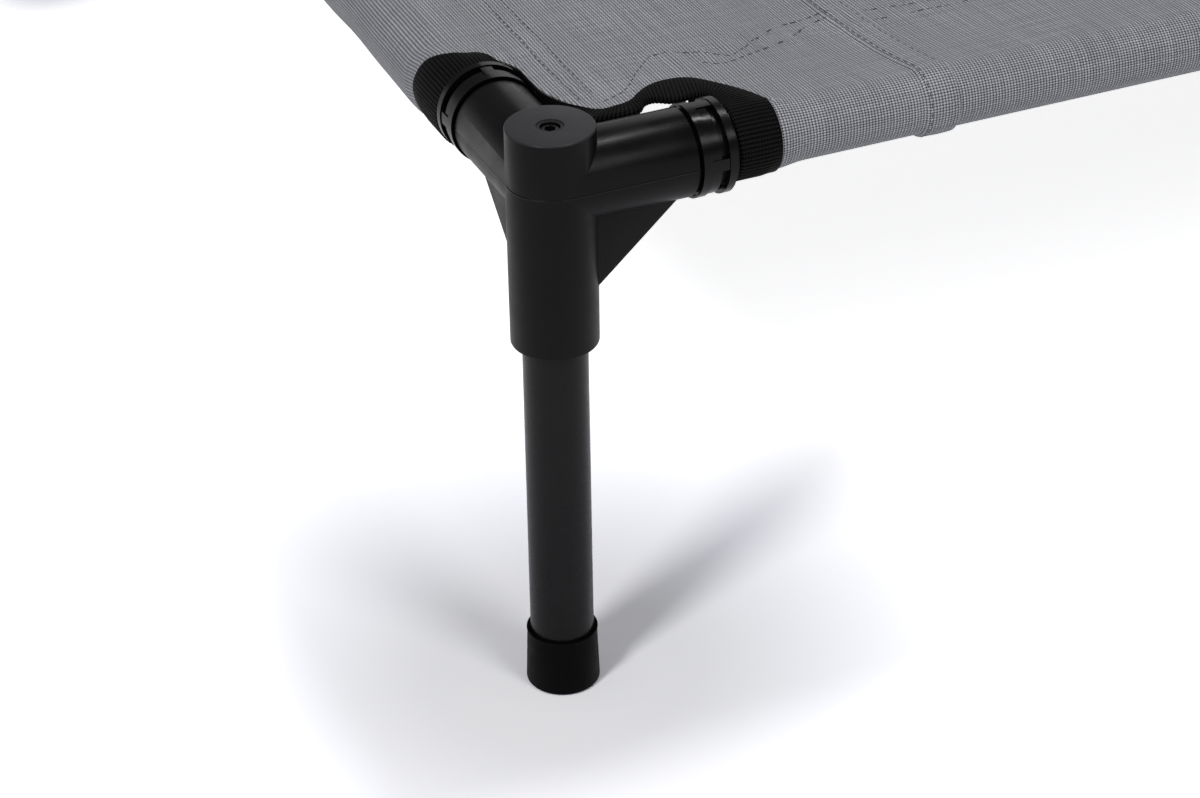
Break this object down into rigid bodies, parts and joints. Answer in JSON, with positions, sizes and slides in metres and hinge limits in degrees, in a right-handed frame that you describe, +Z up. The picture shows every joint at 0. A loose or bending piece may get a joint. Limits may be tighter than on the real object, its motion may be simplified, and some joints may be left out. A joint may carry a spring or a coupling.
{
  "type": "elevated pet bed",
  "caption": "Raised pet bed: a fabric cover with sewn sleeves, stretched on a tubular frame with moulded corner fittings, turning collars and legs with rubber feet.",
  "frame": {"origin": "on the floor under the middle of the bed", "axes": "+X along the long rails, +Y along the short rails, +Z up; the pictured corner is at -X, -Y"},
  "size_m": [1.1022, 0.7622, 0.245],
  "materials": {
    "moulding": "satin black moulding",
    "collar": "smooth black moulding",
    "leg_steel": "satin black powder coat",
    "rail_steel": "satin black powder coat",
    "plug": "plain black moulding",
    "bolt_steel": "black oxide",
    "rubber": "matt black",
    "cover_fabric": "plain woven bluish grey cloth",
    "webbing": "ribbed black webbing"
  },
  "bodies": {
    "frame": {"corner_fitting_front_left": "moulding", "corner_fitting_front_right": "moulding", "corner_fitting_back_right": "moulding", "corner_fitting_back_left": "moulding", "leg_tube_front_left": "leg_steel", "leg_tube_front_right": "leg_steel", "leg_tube_back_right": "leg_steel", "leg_tube_back_left": "leg_steel", "leg_plug_front_left": "plug", "leg_plug_front_right": "plug", "leg_plug_back_right": "plug", "leg_plug_back_left": "plug", "leg_bolt_front_left": "bolt_steel", "leg_bolt_front_right": "bolt_steel", "leg_bolt_back_right": "bolt_steel", "leg_bolt_back_left": "bolt_steel", "foot_front_left": "rubber", "foot_front_right": "rubber", "foot_back_right": "rubber", "foot_back_left": "rubber", "rail_tube_front": "rail_steel", "rail_tube_back": "rail_steel", "rail_tube_left": "rail_steel", "rail_tube_right": "rail_steel", "cover_centre_panel": "cover_fabric", "cover_end_panel_left": "cover_fabric", "cover_end_panel_right": "cover_fabric", "corner_binding_front_left": "webbing", "corner_binding_front_right": "webbing", "corner_binding_back_right": "webbing", "corner_binding_back_left": "webbing"},
    "front_rail_collar_left": {"front_rail_collar_left": "collar"},
    "front_rail_collar_right": {"front_rail_collar_right": "collar"},
    "back_rail_collar_left": {"back_rail_collar_left": "collar"},
    "back_rail_collar_right": {"back_rail_collar_right": "collar"},
    "left_rail_collar_front": {"left_rail_collar_front": "collar"},
    "left_rail_collar_back": {"left_rail_collar_back": "collar"},
    "right_rail_collar_front": {"right_rail_collar_front": "collar"},
    "right_rail_collar_back": {"right_rail_collar_back": "collar"}
  },
  "joints": [
    {"name": "front_rail_collar_left_turn", "type": "hinge", "parent": "frame", "child": "front_rail_collar_left", "pos_m": [-0.47275, -0.363, 0.2225], "axis": [1, 0, 0], "continuous": true},
    {"name": "front_rail_collar_right_turn", "type": "hinge", "parent": "frame", "child": "front_rail_collar_right", "pos_m": [0.47275, -0.363, 0.2225], "axis": [1, 0, 0], "continuous": true},
    {"name": "back_rail_collar_left_turn", "type": "hinge", "parent": "frame", "child": "back_rail_collar_left", "pos_m": [-0.47275, 0.363, 0.2225], "axis": [1, 0, 0], "continuous": true},
    {"name": "back_rail_collar_right_turn", "type": "hinge", "parent": "frame", "child": "back_rail_collar_right", "pos_m": [0.47275, 0.363, 0.2225], "axis": [1, 0, 0], "continuous": true},
    {"name": "left_rail_collar_front_turn", "type": "hinge", "parent": "frame", "child": "left_rail_collar_front", "pos_m": [-0.533, -0.30275, 0.2225], "axis": [0, 1, 0], "continuous": true},
    {"name": "left_rail_collar_back_turn", "type": "hinge", "parent": "frame", "child": "left_rail_collar_back", "pos_m": [-0.533, 0.30275, 0.2225], "axis": [0, 1, 0], "continuous": true},
    {"name": "right_rail_collar_front_turn", "type": "hinge", "parent": "frame", "child": "right_rail_collar_front", "pos_m": [0.533, -0.30275, 0.2225], "axis": [0, 1, 0], "continuous": true},
    {"name": "right_rail_collar_back_turn", "type": "hinge", "parent": "frame", "child": "right_rail_collar_back", "pos_m": [0.533, 0.30275, 0.2225], "axis": [0, 1, 0], "continuous": true}
  ]
}
